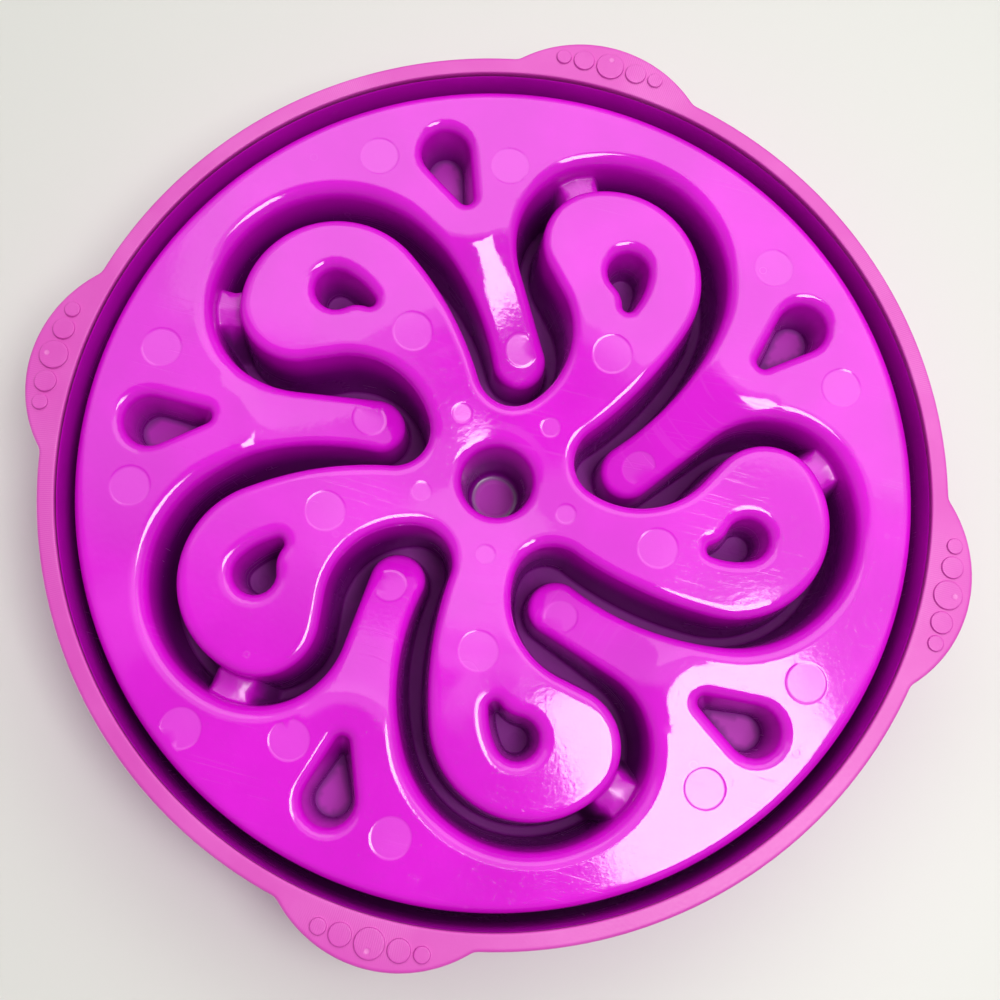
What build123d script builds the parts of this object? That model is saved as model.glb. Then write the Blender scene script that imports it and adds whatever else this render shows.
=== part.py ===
"""Slow feeder bowl: a one-piece moulded bowl with a flower-shaped maze, on a non-slip base ring.

Millimetres, +Z up, food side up. The origin is on the table, under the middle of the bowl.
The underside of the bowl is hollow: every ridge and post of the maze is an open channel or pocket below.
"""
from build123d import *
from math import atan2, cos, degrees, radians, sin, sqrt, tan
import os

os.makedirs("parts", exist_ok=True)

# Base ring, with four carrying tabs that each have five foot discs
ring_width = 5.2
ring_foot_thickness = 2.6
ring_collar_height = 9.0
ring_collar_rounding = 1.2
tab_count = 4
tab_projection = 9.1
tab_arc_radius = 40.5
tab_thickness = 5.0
tab_corner_radius = 4.0
tab_edge_rounding = 1.0
foot_height = 0.8
foot_row_offset = 2.0
foot_diameters = [4.7, 6.6, 8.7, 6.6, 4.7]
foot_gap = 0.9
seat_clearance = 0.1

# Bowl: skirt, wall, rim and floor
bowl_height = 57.0
skirt_thickness = 2.6
wall_thickness = 2.4
outer_lane_width = 15.7
skirt_gap = 4.8
side_draft = 1.5
rim_wall = 2.8
floor_clearance = 2.7
floor_corner_radius = 3.0
dome_radius = 55.0
dome_rise = 8.4

# Maze: one closed ridge that winds round the petals, drawn as touching arcs
petal_count = 5
petal_angle = -4.7
petal_cap_distance = 72.6
petal_cap_radius = 29.8
petal_shoulder_radius = 17.7
petal_shoulder_turn = -38.4
petal_flank_radius = 107.0
throat_inset = 6.7
throat_turn = -19.8
throat_radius = 12.1
neck_radius = 26.3
neck_turn = 118.0
channel_width = 8.9
finger_distance = 42.7
finger_turn = -18.4
finger_tip_radius = 7.1
finger_flank_radius = 78.0
ridge_height = 41.0
ridge_draft = 4.5
ridge_top_rounding = 3.2

# Ramps on the fingers of floor between the petals
ramp_slope = 23.7
ramp_gap = 13.9
ramp_start_turn = -32.3

# Low saddle in the ridge at the outer end of each petal
saddle_height = 14.2
saddle_width = 8.2
saddle_turn = -43.0
saddle_flare = 9.0

# Posts: one drop outside each finger, one drop in each petal and a round one in the middle
outer_drop_inset = 19.7
outer_drop_turn = 34.8
outer_drop_radius = 8.1
outer_drop_length = 16.8
outer_drop_tail_turn = 37.6
outer_drop_tail_radius = 2.5
outer_drop_height = 25.0
inner_drop_offset = 5.7
inner_drop_turn = 3.5
inner_drop_radius = 6.9
inner_drop_length = 9.6
inner_drop_tail_turn = 8.5
inner_drop_tail_radius = 2.1
inner_drop_back_radius = 24.0
inner_drop_waist_radius = 5.0
inner_drop_height = 27.0
drop_draft = 7.5
drop_tail_slope = 15.0
drop_tip_radius = 0.8
centre_post_radius = 12.0
centre_post_height = 41.0
centre_post_draft = 6.0

# Levels and radii that follow from the sizes above
ring_underside = foot_height
seat_level = ring_underside + ring_foot_thickness
floor_underside = ring_underside + floor_clearance
floor_top = floor_underside + wall_thickness
petal_step = 360 / petal_count
wall_radius = petal_cap_distance + petal_cap_radius + channel_width + outer_lane_width
ring_bore_radius = wall_radius + skirt_gap
ring_radius = ring_bore_radius + ring_width
skirt_outer_radius = ring_bore_radius + skirt_thickness
tab_reach = ring_radius + tab_projection
foot_row_radius = ring_radius + foot_row_offset
throat_distance = finger_distance - throat_inset
outer_drop_distance = wall_radius - outer_drop_inset
outer_drop_tail_distance = outer_drop_distance - outer_drop_length
ramp_start = outer_drop_tail_distance - ramp_gap
inner_drop_distance = petal_cap_distance + inner_drop_offset
inner_drop_tail_distance = inner_drop_distance - inner_drop_length
hollow_top = ridge_height - wall_thickness
ramp_half_width = finger_tip_radius + channel_width
clear = floor_underside + wall_thickness
touch_tolerance = 0.001
ridge_top_share = 0.47


def polar(distance, angle):
    """Point at a distance and an angle in degrees about the bowl's axis."""
    return Vector(distance * cos(radians(angle)), distance * sin(radians(angle)))


def aside(center, distance, angle):
    """Point at a distance and an angle in degrees about another point."""
    return center + polar(distance, angle)


def touching_center(first, second, radius, side):
    """Centre of an arc that touches two arcs. A negative radius turns clockwise, side picks left or right."""
    (first_center, first_radius), (second_center, second_radius) = first, second
    span = second_center - first_center
    reach_first = abs(radius - first_radius)
    reach_second = abs(radius - second_radius)
    along = (span.length**2 + reach_first**2 - reach_second**2) / (2 * span.length)
    across = sqrt(reach_first**2 - along**2) * side
    unit = span.normalized()
    return first_center + unit * along + Vector(-unit.Y, unit.X) * across


def travel_angle(first, second):
    """Direction in degrees of the straight line that leaves one arc and joins the next."""
    (first_center, first_radius), (second_center, second_radius) = first, second
    span = second_center - first_center
    rise = second_radius - first_radius
    run = sqrt(span.length**2 - rise**2) if span.length - abs(rise) > touch_tolerance else 0
    return degrees(atan2(span.Y, span.X) - atan2(rise, run))


def arc_loop(arcs, grow=0.0):
    """Closed outline through arcs that touch or are joined by tangent lines, grown outwards by an offset."""
    count = len(arcs)
    headings = [travel_angle(arcs[i], arcs[(i + 1) % count]) for i in range(count)]
    ends = []
    for i, (center, radius) in enumerate(arcs):
        radius = radius + grow
        heading_in = headings[i - 1]
        sweep = (headings[i] - heading_in) % 360
        quarter = 90
        if radius < 0:
            sweep -= 360
            quarter = -90
        begin = heading_in - quarter
        CenterArc(center, abs(radius), begin, sweep)
        ends.append((aside(center, abs(radius), begin), aside(center, abs(radius), begin + sweep)))
    for i in range(count):
        leave, arrive = ends[i][1], ends[(i + 1) % count][0]
        if (arrive - leave).length > touch_tolerance:
            Line(leave, arrive)


def petal_side_arcs():
    """Outline of the petals and the middle: the ridge channel's inner edge at the floor's underside."""
    arcs = []
    for k in range(petal_count):
        axis = petal_angle + k * petal_step
        throat = polar(throat_distance, axis + throat_turn)
        neck = aside(throat, neck_radius - throat_radius, axis + neck_turn + 180)
        cap = polar(petal_cap_distance, axis)
        shoulder = aside(cap, petal_cap_radius - petal_shoulder_radius, axis + petal_shoulder_turn)
        next_throat = polar(throat_distance, axis + petal_step + throat_turn)
        flank = touching_center((cap, petal_cap_radius), (next_throat, -throat_radius), petal_flank_radius, 1)
        arcs += [(throat, -throat_radius), (neck, -neck_radius), (shoulder, petal_shoulder_radius)]
        arcs += [(cap, petal_cap_radius), (flank, petal_flank_radius)]
    return arcs


def finger_side_arcs():
    """Outline of the whole flower: the ridge channel's outer edge at the floor's underside."""
    arcs = []
    shoulder_radius = petal_shoulder_radius + channel_width
    cap_radius = petal_cap_radius + channel_width
    for k in range(petal_count):
        axis = petal_angle + k * petal_step
        tip = polar(finger_distance, axis + finger_turn)
        cap = polar(petal_cap_distance, axis)
        shoulder = aside(cap, petal_cap_radius - petal_shoulder_radius, axis + petal_shoulder_turn)
        next_tip = polar(finger_distance, axis + petal_step + finger_turn)
        flank = touching_center((cap, cap_radius), (next_tip, -finger_tip_radius), finger_flank_radius, 1)
        arcs += [(tip, -finger_tip_radius), (shoulder, shoulder_radius)]
        arcs += [(cap, cap_radius), (flank, finger_flank_radius)]
    return arcs


def ridge_top_width():
    """Width of the ridge's flat top where the channel is narrowest, between a finger's tip and the neck."""
    throat = polar(throat_distance, throat_turn)
    neck = aside(throat, neck_radius - throat_radius, neck_turn + 180)
    tip = polar(finger_distance, finger_turn)
    neck_width = neck_radius - finger_tip_radius - (tip - neck).length
    lean = (ridge_height - floor_underside) * tan(radians(ridge_draft))
    return min(channel_width, neck_width) + 2 * wall_thickness - 2 * lean


def outer_drop_arcs(k, height):
    """Drop outline outside finger k, at a height above the floor's underside, where it is smaller."""
    axis = petal_angle + k * petal_step
    head = polar(outer_drop_distance, axis + outer_drop_turn)
    tail = polar(outer_drop_tail_distance, axis + outer_drop_tail_turn)
    tail = tail + (head - tail).normalized() * height * tan(radians(drop_tail_slope))
    tail_radius = outer_drop_tail_radius if height <= 0 else drop_tip_radius
    return [(head, outer_drop_radius - height * tan(radians(drop_draft))), (tail, tail_radius)]


def inner_drop_arcs(k, height):
    """Comma-shaped outline in petal k, at a height above the floor's underside, where it is smaller."""
    axis = petal_angle + k * petal_step
    taper = height * tan(radians(drop_draft))
    head = polar(inner_drop_distance, axis + inner_drop_turn)
    tail = polar(inner_drop_tail_distance, axis + inner_drop_tail_turn)
    tail = tail + (head - tail).normalized() * taper
    head_arc = (head, inner_drop_radius - taper)
    tail_arc = (tail, inner_drop_tail_radius if height <= 0 else drop_tip_radius)
    back = touching_center(head_arc, tail_arc, inner_drop_back_radius, 1)
    waist = touching_center(head_arc, tail_arc, -inner_drop_waist_radius, 1)
    return [head_arc, (back, inner_drop_back_radius), tail_arc, (waist, -inner_drop_waist_radius)]


def outline_face(level, arcs, grow=0.0):
    """Flat face over an arc outline at a level."""
    with BuildSketch(Plane.XY.offset(level)) as outline:
        with BuildLine():
            arc_loop(arcs, grow)
        make_face()
    return outline.sketch


def drafted_block(arcs, bottom, top, grow, draft, mode=Mode.ADD):
    """Block over an outline given at the floor's underside. It grows by the draft as it rises."""
    lean = tan(radians(draft))
    ends = [outline_face(level, arcs, grow + (level - floor_underside) * lean) for level in (bottom, top)]
    loft(ends, ruled=True, mode=mode)


def drop_block(drop_arcs, k, top, grow, mode=Mode.ADD):
    """Tapered block of one drop, from the floor's underside to its top."""
    mouth = outline_face(floor_underside, drop_arcs(k, 0), grow)
    tip = outline_face(top, drop_arcs(k, top - floor_underside), grow)
    loft([mouth, tip], ruled=True, mode=mode)


def saddle_block(k, level, half_width, mode):
    """Flared block across the ridge at the outer end of petal k, from a level upwards."""
    axis = petal_angle + k * petal_step
    cap = polar(petal_cap_distance, axis)
    shoulder = aside(cap, petal_cap_radius - petal_shoulder_radius, axis + petal_shoulder_turn)
    heading = axis + saddle_turn
    across = Plane(origin=shoulder, x_dir=polar(1, heading + 90), z_dir=polar(1, heading))
    rise = ridge_height + clear - level
    flare = rise * tan(radians(saddle_flare))
    with BuildSketch(across) as section:
        with BuildLine():
            Polyline(
                (-half_width, level),
                (half_width, level),
                (half_width + flare, level + rise),
                (-half_width - flare, level + rise),
                close=True,
            )
        make_face()
    extrude(section.sketch, amount=petal_shoulder_radius + 2 * channel_width, mode=mode)


def ramp_block(k, bottom, start_level, mode):
    """Wedge along finger k between a flat bottom and the slope that starts at a level."""
    axis = petal_angle + k * petal_step
    start = polar(ramp_start, axis + ramp_start_turn)
    tip = polar(finger_distance, axis + finger_turn)
    along = Plane(origin=start, x_dir=tip - start, z_dir=(tip - start).rotate(Axis.Z, -90))
    ramp_length = (tip - start).length + finger_tip_radius + wall_thickness
    top_level = start_level + ramp_length * tan(radians(ramp_slope))
    with BuildSketch(along) as wedge:
        with BuildLine():
            Polyline((0, bottom), (ramp_length, bottom), (ramp_length, top_level), (0, start_level), close=True)
        make_face()
    extrude(wedge.sketch, amount=ramp_half_width, both=True, mode=mode)


petal_arcs = petal_side_arcs()
finger_arcs = finger_side_arcs()

# Ridge as a solid wall, with its saddles and rounded top
with BuildPart() as ridge:
    drafted_block(finger_arcs, floor_underside, ridge_height, wall_thickness, -ridge_draft)
    drafted_block(petal_arcs, 0, ridge_height + clear, -wall_thickness, ridge_draft, Mode.SUBTRACT)
    top_rounding = min(ridge_top_rounding, ridge_top_share * ridge_top_width())
    fillet(ridge.faces().sort_by(Axis.Z)[-1].edges(), top_rounding)
    for k in range(petal_count):
        saddle_block(k, saddle_height, saddle_width / 2, Mode.SUBTRACT)

# Channel under the ridge, shallow at the saddles
with BuildPart() as channel:
    drafted_block(finger_arcs, 0, hollow_top, 0, -ridge_draft)
    drafted_block(petal_arcs, -clear, ridge_height, 0, ridge_draft, Mode.SUBTRACT)
    for k in range(petal_count):
        saddle_block(k, saddle_height - wall_thickness, saddle_width / 2 + wall_thickness, Mode.SUBTRACT)

# Ramps of the fingers, and the space below them
with BuildPart() as ramps:
    for k in range(petal_count):
        ramp_block(k, floor_underside, floor_top, Mode.ADD)
    drafted_block(finger_arcs, 0, ridge_height, 0, 0, Mode.SUBTRACT)

with BuildPart() as ramp_hollows:
    for k in range(petal_count):
        ramp_block(k, 0, floor_underside, Mode.ADD)
    drafted_block(finger_arcs, -clear, ridge_height, 0, -ridge_draft, Mode.SUBTRACT)

# Open space below the floor, which rises gently to the middle
with BuildPart() as below_floor:
    with BuildSketch(Plane.XZ):
        with BuildLine():
            Polyline(
                (0, 0),
                (dome_radius, 0),
                (dome_radius, floor_underside),
                (0, floor_underside + dome_rise),
                close=True,
            )
        make_face()
    revolve(axis=Axis.Z)

with BuildPart() as bowl_shell:
    lean = tan(radians(side_draft))
    hollow_end = bowl_height - rim_wall
    wall_foot = floor_underside + floor_corner_radius
    outer_foot = (skirt_outer_radius, seat_level)
    outer_top = (skirt_outer_radius - lean * (hollow_end - seat_level), hollow_end)
    skirt_top = (outer_top[0] - skirt_thickness, hollow_end)
    wall_top = (wall_radius + lean * (hollow_end - wall_foot), hollow_end)
    inner_top = (wall_top[0] - wall_thickness, hollow_end)
    crown = ((outer_top[0] + inner_top[0]) / 2, bowl_height)
    wall_start = (wall_radius, wall_foot)
    floor_edge = (wall_radius - floor_corner_radius, floor_underside)
    inner_foot = (wall_radius - wall_thickness, wall_foot)
    with BuildSketch(Plane.XZ):
        with BuildLine():
            Polyline((0, floor_underside + dome_rise), (dome_radius, floor_underside), floor_edge)
            RadiusArc(floor_edge, wall_start, -floor_corner_radius)
            Polyline(wall_start, wall_top, skirt_top, (ring_bore_radius, seat_level), outer_foot, outer_top)
            ThreePointArc(outer_top, crown, inner_top)
            Polyline(
                inner_top,
                inner_foot,
                (inner_foot[0] - floor_corner_radius, floor_top),
                (dome_radius, floor_top),
                (0, floor_top + dome_rise),
                (0, floor_underside + dome_rise),
            )
        make_face()
    revolve(axis=Axis.Z)
    add(ridge.part)
    add(ramps.part)
    for k in range(petal_count):
        drop_block(outer_drop_arcs, k, outer_drop_height, wall_thickness)
        drop_block(inner_drop_arcs, k, inner_drop_height, wall_thickness)
    with BuildSketch(Plane.XY.offset(floor_top)):
        Circle(centre_post_radius + wall_thickness)
    extrude(amount=centre_post_height - floor_top, taper=centre_post_draft)
    add(channel.part, mode=Mode.SUBTRACT)
    add(ramp_hollows.part, mode=Mode.SUBTRACT)
    for k in range(petal_count):
        drop_block(outer_drop_arcs, k, outer_drop_height - wall_thickness, 0, Mode.SUBTRACT)
        drop_block(inner_drop_arcs, k, inner_drop_height - wall_thickness, 0, Mode.SUBTRACT)
    with BuildSketch(Plane.XY.offset(floor_underside)):
        Circle(centre_post_radius)
    centre_depth = centre_post_height - wall_thickness - floor_underside
    extrude(amount=centre_depth, taper=centre_post_draft, mode=Mode.SUBTRACT)
    add(below_floor.part, mode=Mode.SUBTRACT)

bowl_shell.part.label = "bowl_shell"
export_step(bowl_shell.part, "parts/bowl_shell.step")

# Base ring: a flat foot under the skirt, a collar round it, four tabs and their foot discs
with BuildPart() as non_slip_base_ring:
    with BuildSketch(Plane.XY.offset(ring_underside)) as plan:
        Circle(ring_radius)
        with PolarLocations(tab_reach - tab_arc_radius, tab_count):
            Circle(tab_arc_radius)
        fillet(plan.vertices().group_by(lambda v: Vector(v).length)[0], tab_corner_radius)
    extrude(amount=tab_thickness)
    fillet(non_slip_base_ring.faces().filter_by(Axis.Z).edges(), tab_edge_rounding)
    with BuildSketch(Plane.XY.offset(ring_underside + tab_thickness / 2)):
        Circle(ring_radius)
    extrude(amount=seat_level + ring_collar_height - ring_underside - tab_thickness / 2)
    fillet(non_slip_base_ring.faces().sort_by(Axis.Z)[-1].edges(), ring_collar_rounding)
    with BuildSketch(Plane.XY.offset(ring_underside)):
        Circle(ring_bore_radius)
    extrude(amount=ring_foot_thickness, mode=Mode.SUBTRACT)
    with BuildSketch(Plane.XY.offset(seat_level)):
        Circle(skirt_outer_radius + seat_clearance)
    extrude(amount=ring_collar_height, mode=Mode.SUBTRACT)
    for tab in range(tab_count):
        along = -sum(foot_diameters) / 2 - foot_gap * (len(foot_diameters) - 1) / 2
        for diameter in foot_diameters:
            along += diameter / 2
            swing = tab * 360 / tab_count + degrees(along / foot_row_radius)
            with BuildSketch(Plane.XY):
                with Locations(polar(foot_row_radius, swing)):
                    Circle(diameter / 2)
            extrude(amount=foot_height)
            along += diameter / 2 + foot_gap

non_slip_base_ring.part.label = "non_slip_base_ring"
export_step(non_slip_base_ring.part, "parts/non_slip_base_ring.step")
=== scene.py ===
"""Looks of the slow feeder bowl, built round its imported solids.

Sizes are in millimetres, in the part's frame, until a mesh is made. The bowl stands food side up, and the
photo shows it from below, lying on its rim, so the main camera looks up at it.
"""

from math import atan2, ceil, cos, degrees, hypot, pi, radians, sin, sqrt, tan
from typing import NamedTuple

import bmesh
import bpy
import numpy as np
from mathutils import Matrix, Vector
from mathutils.geometry import delaunay_2d_cdt
from mathutils.kdtree import KDTree


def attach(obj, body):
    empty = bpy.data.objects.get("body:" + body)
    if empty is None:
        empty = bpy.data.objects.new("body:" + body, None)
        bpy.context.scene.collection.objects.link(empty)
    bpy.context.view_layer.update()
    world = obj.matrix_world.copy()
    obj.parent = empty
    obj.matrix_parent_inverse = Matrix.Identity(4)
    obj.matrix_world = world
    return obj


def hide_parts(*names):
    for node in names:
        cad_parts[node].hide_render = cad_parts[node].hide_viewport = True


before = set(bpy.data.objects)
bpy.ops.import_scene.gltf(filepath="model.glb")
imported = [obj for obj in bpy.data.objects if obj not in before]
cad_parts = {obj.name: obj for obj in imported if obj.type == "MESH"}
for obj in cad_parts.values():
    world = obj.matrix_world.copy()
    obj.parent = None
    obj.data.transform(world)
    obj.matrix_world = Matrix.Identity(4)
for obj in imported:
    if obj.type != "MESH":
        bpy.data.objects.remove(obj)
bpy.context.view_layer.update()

MM = 0.001

# Base ring, its tabs and their foot discs
ring_radius = 137.0
ring_bore_radius = 131.8
ring_underside = 0.8
seat_level = 3.4
ring_top = 12.4
collar_inner_radius = 134.5
collar_rounding = 1.2
tab_count = 4
tab_reach = 146.1
tab_arc_radius = 40.5
tab_top = 5.8
tab_corner_radius = 4.0
tab_edge_rounding = 1.0
foot_row_radius = 139.0
foot_diameters = [4.7, 6.6, 8.7, 6.6, 4.7]
foot_gap = 0.9
foot_rounding = 0.25
gate_offset = 2.0
gate_radius = 0.8

# Bowl: skirt, wall, rim and floor
bowl_height = 57.0
skirt_outer_radius = 134.4
skirt_thickness = 2.6
wall_thickness = 2.4
wall_radius = 127.0
side_draft = 1.5
rim_wall = 2.8
floor_underside = 3.5
floor_top = floor_underside + wall_thickness
under_corner = 3.0
food_corner = 3.0
edge_rounding = 0.5
dome_radius = 55.0
dome_rise = 8.4
dome_blend = 6.0

# Ridge of the maze, drawn as touching arcs round the petals
petal_count = 5
petal_step = 360 / petal_count
petal_angle = -4.7
petal_cap_distance = 72.6
petal_cap_radius = 29.8
petal_shoulder_radius = 17.7
petal_shoulder_turn = -38.4
petal_flank_radius = 107.0
throat_distance = 36.0
throat_turn = -19.8
throat_radius = 12.1
neck_radius = 26.3
neck_turn = 118.0
channel_width = 8.9
finger_distance = 42.7
finger_turn = -18.4
finger_tip_radius = 7.1
finger_flank_radius = 78.0
ridge_height = 41.0
ridge_draft = 4.5
ridge_top_rounding = 3.0
ridge_foot_rounding = 2.4
mouth_rounding = 3.3
lane_mouth_rounding = 5.0
lane_inner_radius = 70.0
lane_blend = 20.0
channel_end_rounding = 1.1

# Ramps of the fingers and saddles of the ridge
ramp_slope = 23.7
ramp_start = 76.6
ramp_start_turn = -32.3
ramp_arc_radius = 14.0
ramp_blend = 3.5
ramp_half_width = 20.0
ramp_reach = 74.0
ramp_fade_low = 0.2
ramp_fade_range = 0.4
saddle_height = 14.2
saddle_width = 8.2
saddle_turn = -43.0
saddle_flare = 9.0
saddle_blend = 8.0
saddle_crease = 9.0
saddle_reach = 25.0

# Posts, which are pockets from below. Heads and tails: distance, turn from the petal's axis and radius
outer_drop_head = (107.3, 34.8, 8.1)
outer_drop_tail = (90.5, 37.6, 2.5)
outer_drop_height = 25.0
inner_drop_head = (78.3, 3.5, 6.9)
inner_drop_tail = (68.7, 8.5, 2.1)
inner_drop_back_radius = 24.0
inner_drop_waist_radius = 9.0
inner_drop_height = 27.0
drop_draft = 7.5
drop_tail_slope = 15.0
drop_tip_radius = 0.8
drop_mouth_rounding = 3.9
drop_end_rounding = 1.6
tip_rounding_share = 0.7
post_foot_rounding = 1.5
post_top_rounding = 2.6
centre_post_radius = 12.0
centre_post_height = 41.0
centre_post_draft = 6.0

# Round ejector marks on the underside: distance, turn from each petal's axis and radius
petal_marks = (52.9, 13.9, 6.0)
finger_marks = (45.5, -18.3, 5.0)
small_marks = (23.5, 16.4, 3.0)
outer_marks = (110.2, 23.8, 6.0)
# Outer marks that do not repeat: distance and angle
single_marks = [
    (110.2, -30.1), (110.2, 41.9), (110.2, -173.9),
    (101.0, -102.8), (98.9, 112.6), (118.5, 125.7),
]
pin_radius = 1.9
pin_paleness = 0.2
centre_mark_radius = 5.3
mark_depth = 0.14
mark_edge = 0.18

# Colours of the plastic, the last a painted shade for the hollows; how far the end of each hollow takes on
# that painted shade, and how dull it is
plastic_color = (0.645, 0.005, 0.60, 1)
plastic_deep = (0.56, 0.004, 0.52, 1)
plastic_pale = (0.68, 0.09, 0.64, 1)
painted_hollow_shade = (0.20, 0.001, 0.22, 1)
channel_painted_shade = 0.9
outer_end_painted_shade = 0.45
inner_end_painted_shade = 1.0
centre_end_painted_shade = 0.35
end_dull = 1.0
# Depth in a hollow where its dullness and painted shade start, and over what depth they grow
hollow_start = 5.5
hollow_range = 12.0

# Surface of the plastic. Scales are features per metre, limits are the noise levels where a mark fades in
smudge_scale = 26.0
smudge_detail = 5.0
smudge_limits = (0.35, 0.75)
grain_scale = 700.0
pit_scale = 1900.0
pit_limits = (0.64, 0.74)
fine_detail = 2.0
mark_paleness = 0.35
line_paleness = 0.1
plastic_rough = 0.02
smudge_rough = 0.10
line_rough = 0.12
mark_rough = 0.12
dull_rough = 0.45
deep_rough = 0.2
line_height = -0.6
pit_height = -0.7
plastic_bump = 0.55
plastic_bump_distance = 0.03
plastic_ior = 1.49

# Scratches: angle, stretch in three directions and how seldom they are
plastic_scratches = [
    (20.0, (16.0, 1500.0, 40.0), 0.68),
    (115.0, (20.0, 1300.0, 40.0), 0.69),
    (65.0, (24.0, 1800.0, 40.0), 0.70),
    (0.0, (22.0, 22.0, 1300.0), 0.60),
]
scratch_detail = 1.0
scratch_edge = 0.05
scratch_patch_scale = 22.0
scratch_patch_limits = (0.45, 0.65)

# Dried drops, in cells of a pattern: how seldom a cell has one, its radius and the width of its line
spot_scale = 75.0
spot_seldom = 0.72
spot_radius = 0.085
spot_line = 0.03

# Rubber, with tool marks that run outwards
rubber_color = (0.56, 0.045, 0.40, 1)
rubber_pale = (0.61, 0.075, 0.45, 1)
rubber_pale_marks = (0.76, 0.30, 0.63, 1)
rubber_stain_scale = 30.0
rubber_stain_detail = 5.0
rubber_stain_limits = (0.4, 0.75)
rubber_grain_scale = 1400.0
rubber_grain_detail = 4.0
hatch_lines = 1400.0
hatch_patch_scale = 14.0
hatch_patch_limits = (0.42, 0.62)
hatch_pale_limits = (0.2, 0.8)
hatch_paleness = 0.2
gate_wear = 0.35
rubber_rough = 0.32
rubber_grain_rough = 0.2
hatch_height = 0.5
rubber_bump = 0.35
rubber_bump_distance = 0.06

# Camera at the photo's place
camera_place = (9.12, 82.12, -374.41)
camera_right = (0.9653, -0.2587, -0.0347)
camera_up = (-0.2604, -0.9460, -0.1928)
camera_lens = 46.04

# Pale stage and world. The limits are parts of a direction: to the bright side, downwards, at the horizon
stage_color = (0.62, 0.628, 0.59, 1)
stage_roughness = 0.5
stage_half_width = 60000.0
world_color = (1.0, 0.985, 0.97, 1)
world_above = 1.0
world_bright = 1.65
world_dim = 0.34
world_seen = 0.78
bright_side_limits = (0.02, 0.16)
bright_down_limits = (0.45, 0.85)
horizon_limits = (-0.05, 0.1)

# Lamps: place, direction of the width, direction that they face, width, depth and power in watts
lamps = {
    "window_below": ((308, 94, -900), (0.77, -0.64, 0), (0, 0, 1), 266, 422, 5.6),
    "ceiling_below": ((20, -330, -480), (1, 0, 0), (0, 0.45, 0.9), 620, 330, 1.0),
    "key_above": ((500, -420, 900), (0.64, 0.77, 0), (-0.45, 0.38, -0.81), 700, 500, 4.0),
    "fill_above": ((-600, 300, 600), (0.45, 0.89, 0), (0.67, -0.33, -0.67), 600, 600, 1.5),
}

# How finely the meshes are cut
outline_spacing = 0.6
ring_spacing = 1.2
floor_spacing = 2.4
pocket_spacing = 1.6
round_steps = 360
centre_steps = 120
drop_steps = 14
foot_disc_steps = 48
foot_edge_steps = 4
ring_edge_steps = 6
corner_steps = 5
under_corner_steps = 8
food_corner_steps = 10
rim_steps = 15
skirt_steps = 8
ridge_foot_steps = 7
ridge_wall_steps = 8
drop_foot_steps = 8
drop_wall_steps = 6
end_steps = 6
pocket_dull_rows = 4
# Share of the skirt's height that is cut into rows
skirt_share = 0.97
# Width of the flat strip between a rounding and the floor beside it
lead = 0.8
foot_disc_lead = 0.1
# Bulge of a straight stretch, so that no three of its points are in line
line_swell = 0.02
# Least distance from a region's border to a point inside it, as a share of the spacing
border_clearance = 0.7
# Points round a mark's edge: the rings, the spacing and the space kept free, in widths of the edge
mark_rings = (-3, -1, 1, 3)
mark_spacing = 4
mark_clearance = 6
# How often a wall's foot and end are fitted to the slopes that they meet, and how far a slope is probed
foot_fits = 4
end_fits = 3
slope_probe = 0.1
# Smallest lengths that count
tolerance = 0.001
shortest_line = 0.01
merge_distance = 1e-6
least_rise = 1e-12


class Side(NamedTuple):
    """Heights and roundings of one side of the floor. Grow is how far it is outside the drawn outlines."""
    is_hollow: bool
    grow: float
    floor: float
    ridge_top: float
    saddle_low: float
    saddle_half: float
    ridge_foot: float
    lane_foot: float
    ridge_end: float
    post_foot: float
    post_end: float
    outer_post: float
    inner_post: float
    centre_post: float


under_side = Side(
    is_hollow=True,
    grow=0.0,
    floor=floor_underside,
    ridge_top=ridge_height - wall_thickness,
    saddle_low=saddle_height - wall_thickness,
    saddle_half=saddle_width / 2 + wall_thickness,
    ridge_foot=mouth_rounding,
    lane_foot=lane_mouth_rounding,
    ridge_end=channel_end_rounding,
    post_foot=drop_mouth_rounding,
    post_end=drop_end_rounding,
    outer_post=outer_drop_height - wall_thickness,
    inner_post=inner_drop_height - wall_thickness,
    centre_post=centre_post_height - wall_thickness,
)
food_side = Side(
    is_hollow=False,
    grow=wall_thickness,
    floor=floor_top,
    ridge_top=ridge_height,
    saddle_low=saddle_height,
    saddle_half=saddle_width / 2,
    ridge_foot=ridge_foot_rounding,
    lane_foot=ridge_foot_rounding,
    ridge_end=ridge_top_rounding,
    post_foot=post_foot_rounding,
    post_end=post_top_rounding,
    outer_post=outer_drop_height,
    inner_post=inner_drop_height,
    centre_post=centre_post_height,
)


def polar(distance, angle):
    """Point at a distance and an angle in degrees about the bowl's axis."""
    return np.array([distance * cos(radians(angle)), distance * sin(radians(angle))])


def smooth_ramp(x, half):
    """Zero below, x above, with a parabola from -half to half between them."""
    middle = (x + half) ** 2 / (4 * half)
    return np.where(x > half, x, np.where(x < -half, 0.0, middle))


def touching_center(first, second, radius, side):
    """Centre of an arc that touches two arcs. A negative radius turns clockwise, side picks left or right."""
    (first_center, first_radius), (second_center, second_radius) = first, second
    span = second_center - first_center
    length = hypot(*span)
    reach_first = abs(radius - first_radius)
    reach_second = abs(radius - second_radius)
    along = (length**2 + reach_first**2 - reach_second**2) / (2 * length)
    across = sqrt(reach_first**2 - along**2) * side
    unit = span / length
    return first_center + unit * along + np.array([-unit[1], unit[0]]) * across


def travel_angle(first, second):
    """Direction of the straight line that leaves one arc and joins the next."""
    (first_center, first_radius), (second_center, second_radius) = first, second
    span = second_center - first_center
    length = hypot(*span)
    rise = second_radius - first_radius
    run = sqrt(length**2 - rise**2) if length - abs(rise) > tolerance else 0.0
    return atan2(span[1], span[0]) - atan2(rise, run)


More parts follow.
